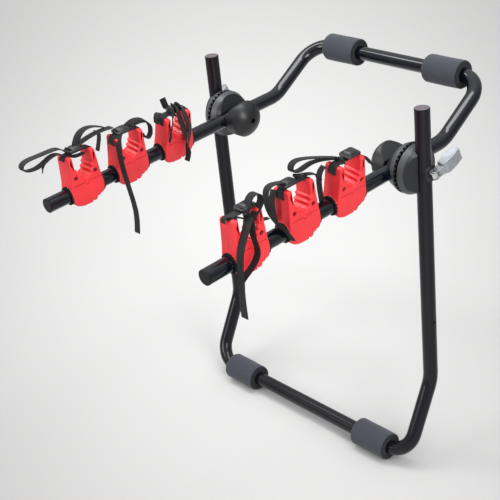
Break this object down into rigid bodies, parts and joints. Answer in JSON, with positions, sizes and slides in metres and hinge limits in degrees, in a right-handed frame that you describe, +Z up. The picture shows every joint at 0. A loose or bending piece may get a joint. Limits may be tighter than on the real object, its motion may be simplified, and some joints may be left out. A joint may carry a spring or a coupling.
{
  "type": "car bike rack",
  "caption": "Rear-mounted car bike rack: bent tube frames on toothed hubs, foam pads, and red clamp cradles with tie-down straps on the arms.",
  "frame": {"origin": "midway between the two lower foam pads, on the plane where they touch the car", "axes": "+X to the right of someone behind the car who looks at the rack, along both cross bars; +Y towards the car; +Z up"},
  "size_m": [0.5688, 0.687, 0.6488],
  "materials": {
    "satin_black_paint": "satin",
    "gloss_black_paint": "gloss",
    "black_cap": "matte",
    "foam": "matte",
    "hub_plastic": "satin",
    "washer_plastic": "satin",
    "zinc": "satin",
    "bright_steel": "gloss",
    "red_plastic": "gloss",
    "black_rubber": "matte",
    "screw_steel": "satin",
    "webbing": "matte",
    "buckle_plastic": "satin"
  },
  "bodies": {
    "lower": {"lower_frame": "satin_black_paint", "post_plug_left": "black_cap", "post_plug_right": "black_cap", "lower_pad_left": "foam", "lower_pad_right": "foam", "post_half_left": "hub_plastic", "post_half_right": "hub_plastic", "saddle_washers": "washer_plastic", "hub_bolts": "bright_steel"},
    "upper": {"upper_frame": "gloss_black_paint", "arm_plug_left": "black_cap", "arm_plug_right": "black_cap", "upper_pad_left": "foam", "upper_pad_right": "foam", "arm_half_left": "hub_plastic", "arm_half_right": "hub_plastic", "clamp_cap_left": "hub_plastic", "clamp_cap_right": "hub_plastic", "hub_nuts": "bright_steel"},
    "lever_left": {"cam_lever_left": "zinc", "lever_pin_left": "bright_steel"},
    "lever_right": {"cam_lever_right": "zinc", "lever_pin_right": "bright_steel"},
    "bush_left_front": {"cradle_bush_left_front": "black_rubber"},
    "cradle_left_front": {"cradle_inner_left_front": "red_plastic", "cradle_outer_left_front": "red_plastic", "cradle_screws_left_front": "screw_steel", "strap_left_front": "webbing", "buckle_left_front": "buckle_plastic"},
    "bush_left_middle": {"cradle_bush_left_middle": "black_rubber"},
    "cradle_left_middle": {"cradle_inner_left_middle": "red_plastic", "cradle_outer_left_middle": "red_plastic", "cradle_screws_left_middle": "screw_steel", "strap_left_middle": "webbing", "buckle_left_middle": "buckle_plastic"},
    "bush_left_rear": {"cradle_bush_left_rear": "black_rubber"},
    "cradle_left_rear": {"cradle_inner_left_rear": "red_plastic", "cradle_outer_left_rear": "red_plastic", "cradle_screws_left_rear": "screw_steel", "strap_left_rear": "webbing", "buckle_left_rear": "buckle_plastic"},
    "bush_right_front": {"cradle_bush_right_front": "black_rubber"},
    "cradle_right_front": {"cradle_inner_right_front": "red_plastic", "cradle_outer_right_front": "red_plastic", "cradle_screws_right_front": "screw_steel", "strap_right_front": "webbing", "buckle_right_front": "buckle_plastic"},
    "bush_right_middle": {"cradle_bush_right_middle": "black_rubber"},
    "cradle_right_middle": {"cradle_inner_right_middle": "red_plastic", "cradle_outer_right_middle": "red_plastic", "cradle_screws_right_middle": "screw_steel", "strap_right_middle": "webbing", "buckle_right_middle": "buckle_plastic"},
    "bush_right_rear": {"cradle_bush_right_rear": "black_rubber"},
    "cradle_right_rear": {"cradle_inner_right_rear": "red_plastic", "cradle_outer_right_rear": "red_plastic", "cradle_screws_right_rear": "screw_steel", "strap_right_rear": "webbing", "buckle_right_rear": "buckle_plastic"}
  },
  "joints": [
    {"name": "frame_fold", "type": "hinge", "parent": "lower", "child": "upper", "pos_m": [0, 0.0702, 0.51575], "axis": [1, 0, 0], "range_deg": [-45, 85]},
    {"name": "lever_turn_right", "type": "hinge", "parent": "lower", "child": "lever_right", "pos_m": [0.2714, 0.0702, 0.51575], "axis": [0, 0.342, -0.9397], "range_deg": [0, 110]},
    {"name": "lever_turn_left", "type": "hinge", "parent": "lower", "child": "lever_left", "pos_m": [-0.2714, 0.0702, 0.51575], "axis": [0, -0.342, 0.9397], "range_deg": [0, 110]},
    {"name": "bush_slide_left_front", "type": "slide", "parent": "upper", "child": "bush_left_front", "axis": [0, 1, 0], "range_m": [-0.006, 0.006]},
    {"name": "cradle_turn_left_front", "type": "hinge", "parent": "bush_left_front", "child": "cradle_left_front", "pos_m": [-0.202, -0.2769, 0.51575], "axis": [0, 1, 0], "range_deg": [-30, 30]},
    {"name": "bush_slide_left_middle", "type": "slide", "parent": "upper", "child": "bush_left_middle", "axis": [0, 1, 0], "range_m": [-0.006, 0.006]},
    {"name": "cradle_turn_left_middle", "type": "hinge", "parent": "bush_left_middle", "child": "cradle_left_middle", "pos_m": [-0.202, -0.1803, 0.51575], "axis": [0, 1, 0], "range_deg": [-37, 23]},
    {"name": "bush_slide_left_rear", "type": "slide", "parent": "upper", "child": "bush_left_rear", "axis": [0, 1, 0], "range_m": [-0.006, 0.006]},
    {"name": "cradle_turn_left_rear", "type": "hinge", "parent": "bush_left_rear", "child": "cradle_left_rear", "pos_m": [-0.202, -0.0781, 0.51575], "axis": [0, 1, 0], "range_deg": [-43.5, 16.5]},
    {"name": "bush_slide_right_front", "type": "slide", "parent": "upper", "child": "bush_right_front", "axis": [0, 1, 0], "range_m": [-0.006, 0.006]},
    {"name": "cradle_turn_right_front", "type": "hinge", "parent": "bush_right_front", "child": "cradle_right_front", "pos_m": [0.202, -0.2707, 0.51575], "axis": [0, 1, 0], "range_deg": [-30, 30]},
    {"name": "bush_slide_right_middle", "type": "slide", "parent": "upper", "child": "bush_right_middle", "axis": [0, 1, 0], "range_m": [-0.006, 0.006]},
    {"name": "cradle_turn_right_middle", "type": "hinge", "parent": "bush_right_middle", "child": "cradle_right_middle", "pos_m": [0.202, -0.1641, 0.51575], "axis": [0, 1, 0], "range_deg": [-30, 30]},
    {"name": "bush_slide_right_rear", "type": "slide", "parent": "upper", "child": "bush_right_rear", "axis": [0, 1, 0], "range_m": [-0.006, 0.006]},
    {"name": "cradle_turn_right_rear", "type": "hinge", "parent": "bush_right_rear", "child": "cradle_right_rear", "pos_m": [0.202, -0.0629, 0.51575], "axis": [0, 1, 0], "range_deg": [-39, 21]}
  ]
}
